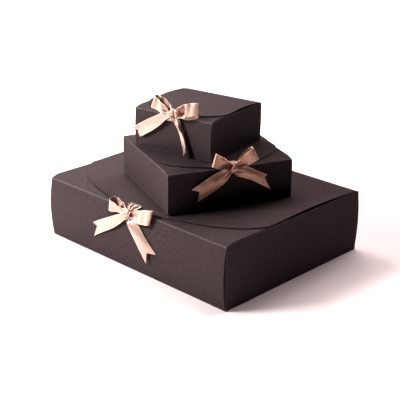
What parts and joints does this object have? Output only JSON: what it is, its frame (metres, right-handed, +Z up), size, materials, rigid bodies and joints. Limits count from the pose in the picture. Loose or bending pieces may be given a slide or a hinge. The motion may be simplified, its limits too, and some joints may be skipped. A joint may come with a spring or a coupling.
{
  "type": "gift box",
  "caption": "Stack of folding card gift boxes in graded sizes, each with a curved arched lid flap over an under flap, tied shut by a satin ribbon bow.",
  "frame": {"origin": "centre of the large box's underside", "axes": "+Z up; the large box is widest along X and its bow side faces -Y"},
  "size_m": [0.31, 0.261, 0.2074],
  "materials": {
    "card": "matt textured paper",
    "ribbon": "satin"
  },
  "bodies": {
    "large_box": {"large_bottom_panel": "card", "large_front_wall": "card", "large_back_wall": "card", "large_left_wall": "card", "large_right_wall": "card", "large_left_lining": "card", "large_right_lining": "card", "large_front_left_tab": "card", "large_front_right_tab": "card", "large_back_left_tab": "card", "large_back_right_tab": "card", "large_ribbon_lower_run": "ribbon"},
    "large_lid": {"large_lid_flap": "card", "large_ribbon_upper_run": "ribbon", "large_bow_knot": "ribbon", "large_bow_left_loop": "ribbon", "large_bow_right_loop": "ribbon", "large_bow_left_tail": "ribbon", "large_bow_right_tail": "ribbon"},
    "large_flap": {"large_under_flap": "card"},
    "medium_box": {"medium_bottom_panel": "card", "medium_front_wall": "card", "medium_back_wall": "card", "medium_left_wall": "card", "medium_right_wall": "card", "medium_left_lining": "card", "medium_right_lining": "card", "medium_front_left_tab": "card", "medium_front_right_tab": "card", "medium_back_left_tab": "card", "medium_back_right_tab": "card", "medium_ribbon_lower_run": "ribbon"},
    "medium_lid": {"medium_lid_flap": "card", "medium_ribbon_upper_run": "ribbon", "medium_bow_knot": "ribbon", "medium_bow_left_loop": "ribbon", "medium_bow_right_loop": "ribbon", "medium_bow_left_tail": "ribbon", "medium_bow_right_tail": "ribbon"},
    "medium_flap": {"medium_under_flap": "card"},
    "small_box": {"small_bottom_panel": "card", "small_front_wall": "card", "small_back_wall": "card", "small_left_wall": "card", "small_right_wall": "card", "small_left_lining": "card", "small_right_lining": "card", "small_front_left_tab": "card", "small_front_right_tab": "card", "small_back_left_tab": "card", "small_back_right_tab": "card", "small_ribbon_lower_run": "ribbon"},
    "small_lid": {"small_lid_flap": "card", "small_ribbon_upper_run": "ribbon", "small_bow_knot": "ribbon", "small_bow_left_loop": "ribbon", "small_bow_right_loop": "ribbon", "small_bow_left_tail": "ribbon", "small_bow_right_tail": "ribbon"},
    "small_flap": {"small_under_flap": "card"}
  },
  "joints": [
    {"name": "large_lid_fold", "type": "hinge", "parent": "large_box", "child": "large_lid", "pos_m": [0, 0.1227, 0.0787], "axis": [-1, 0, 0], "range_deg": [0, 95]},
    {"name": "large_flap_fold", "type": "hinge", "parent": "large_box", "child": "large_flap", "pos_m": [0, -0.1227, 0.0787], "axis": [1, 0, 0], "range_deg": [0, 57.2]},
    {"name": "medium_lift", "type": "slide", "parent": "large_box", "child": "medium_box", "axis": [0, 0, 1], "range_m": [0, 0.748]},
    {"name": "medium_lid_fold", "type": "hinge", "parent": "medium_box", "child": "medium_lid", "pos_m": [-0.06215, 0.02267, 0.13365], "axis": [-0.3923, -0.9198, 0], "range_deg": [0, 95]},
    {"name": "medium_flap_fold", "type": "hinge", "parent": "medium_box", "child": "medium_flap", "pos_m": [0.08355, -0.03947, 0.13365], "axis": [0.3923, 0.9198, 0], "range_deg": [0, 57.2]},
    {"name": "small_lift", "type": "slide", "parent": "medium_box", "child": "small_box", "axis": [0, 0, 1], "range_m": [0, 0.665]},
    {"name": "small_lid_fold", "type": "hinge", "parent": "small_box", "child": "small_lid", "pos_m": [-0.01062, 0.04613, 0.18564], "axis": [-0.986, -0.1668, 0], "range_deg": [0, 95]},
    {"name": "small_flap_fold", "type": "hinge", "parent": "small_box", "child": "small_flap", "pos_m": [0.00762, -0.06173, 0.18564], "axis": [0.986, 0.1668, 0], "range_deg": [0, 57.2]}
  ],
  "couplings": [
    {"joint": "large_flap_fold", "follows": "large_lid_fold", "ratio": 0.6},
    {"joint": "medium_lift", "follows": "large_lid_fold", "m_per_rad": 0.45},
    {"joint": "medium_flap_fold", "follows": "medium_lid_fold", "ratio": 0.6},
    {"joint": "small_lift", "follows": "medium_lid_fold", "m_per_rad": 0.4},
    {"joint": "small_flap_fold", "follows": "small_lid_fold", "ratio": 0.6}
  ]
}
